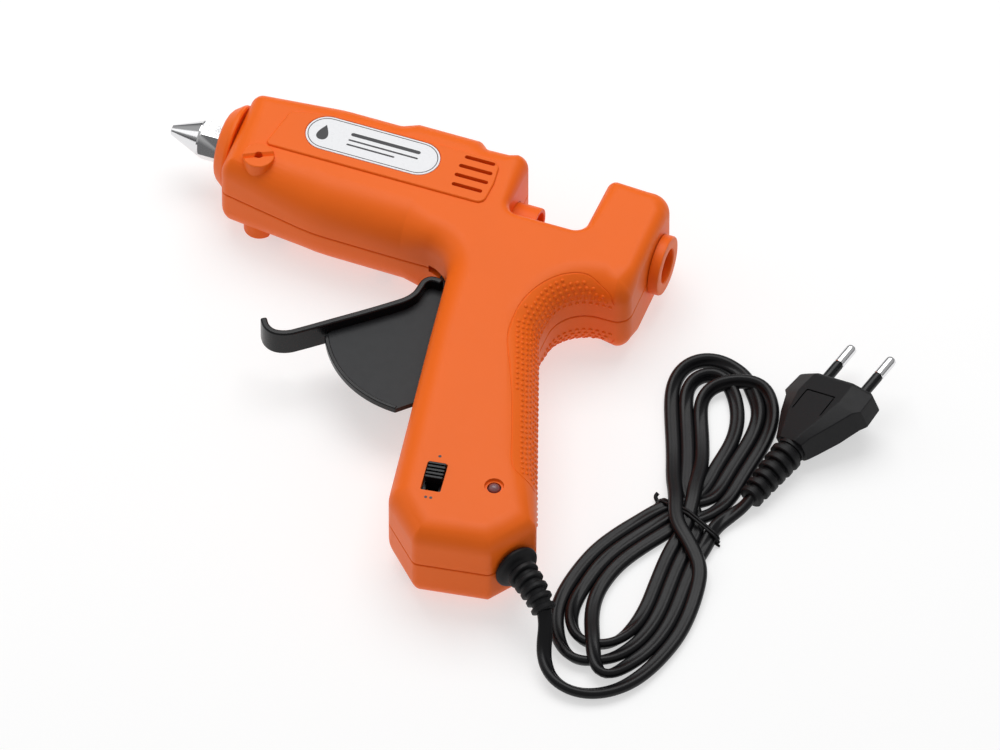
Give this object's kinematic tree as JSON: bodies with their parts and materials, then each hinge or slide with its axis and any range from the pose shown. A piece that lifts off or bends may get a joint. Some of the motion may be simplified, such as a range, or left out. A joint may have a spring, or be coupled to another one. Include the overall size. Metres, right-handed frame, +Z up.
{
  "type": "hot glue gun",
  "caption": "Mains hot glue gun lying on its side: a lever drives a stick feed into a heated chamber behind a hexagonal nozzle, with folded, tied cord and two-pin plug.",
  "frame": {"origin": "on the supporting surface, under the middle of the gun's bounding box without its cord and plug", "axes": "+Z up, out of the gun's left side as it lies on its right side; +X back along the glue stick, away from the nozzle; +Y towards the gun's top"},
  "size_m": [0.2765, 0.2058, 0.0386],
  "materials": {
    "orange_plastic": "satin orange, finely textured",
    "black_plastic": "satin black",
    "chrome": "bright plated",
    "aluminium": "as cast",
    "spring_steel": "bare steel",
    "silicone": "matte dark red",
    "white_print": "smooth white",
    "ceramic": "fired ceramic",
    "lamp": "clear tinted, unlit",
    "cord": "satin black PVC",
    "nylon": "natural nylon",
    "wire_blue": "smooth blue",
    "wire_brown": "smooth brown",
    "wire_white": "woven glass sleeve"
  },
  "bodies": {
    "housing": {"case_screw_1": "spring_steel", "case_screw_2": "spring_steel", "case_screw_3": "spring_steel", "case_screw_4": "spring_steel", "case_screw_5": "spring_steel", "case_screw_6": "spring_steel", "case_screw_7": "spring_steel", "case_screw_8": "spring_steel", "case_screw_9": "spring_steel", "clamp_screw_1": "spring_steel", "clamp_screw_2": "spring_steel", "connector_block": "nylon", "cord_clamp": "nylon", "cord_hank": "cord", "cord_lead": "cord", "cord_tail": "cord", "cord_tie": "black_plastic", "heater_clip": "spring_steel", "heater_element": "ceramic", "heater_lead_left": "wire_white", "heater_lead_right": "wire_white", "inner_cord": "cord", "label_left": "white_print", "label_right": "white_print", "lamp_bulb": "white_print", "lamp_lens": "lamp", "left_shell": "orange_plastic", "live_wire": "wire_brown", "melt_chamber": "aluminium", "neutral_wire": "wire_blue", "nose_ring": "orange_plastic", "nozzle": "chrome", "pin_sleeve_1": "black_plastic", "pin_sleeve_2": "black_plastic", "plug_body": "black_plastic", "plug_pin_1": "chrome", "plug_pin_2": "chrome", "rear_collar": "orange_plastic", "return_spring": "spring_steel", "right_shell": "orange_plastic", "sleeve_clamp": "spring_steel", "stick_sleeve": "silicone", "strain_relief": "black_plastic", "switch_body": "black_plastic", "trigger_pin": "spring_steel"},
    "trigger": {"trigger": "black_plastic"},
    "carriage": {"feed_carriage": "orange_plastic", "drive_pin": "spring_steel", "jaw_pin": "spring_steel"},
    "jaw": {"grip_jaw": "black_plastic"},
    "slider": {"switch_slider": "black_plastic"}
  },
  "joints": [
    {"name": "trigger_pivot", "type": "hinge", "parent": "housing", "child": "trigger", "pos_m": [0.02215, 0.04215, 0.0193], "axis": [0, 0, 1], "range_deg": [0, 33], "stiffness_Nm_per_rad": 0.15},
    {"name": "carriage_slide", "type": "slide", "parent": "housing", "child": "carriage", "axis": [-1, 0, 0], "range_m": [0, 0.0096], "deforming": ["return_spring"]},
    {"name": "jaw_pivot", "type": "hinge", "parent": "carriage", "child": "jaw", "pos_m": [0.01819, 0.07955, 0.0193], "axis": [0, 0, -1], "range_deg": [0, 8.2]},
    {"name": "switch_slide", "type": "slide", "parent": "housing", "child": "slider", "axis": [0.1392, -0.9903, 0], "range_m": [0, 0.0047]}
  ],
  "couplings": [
    {"joint": "carriage_slide", "follows": "trigger_pivot", "m_per_rad": 0.016457},
    {"joint": "jaw_pivot", "follows": "trigger_pivot", "ratio": 0.2424}
  ]
}
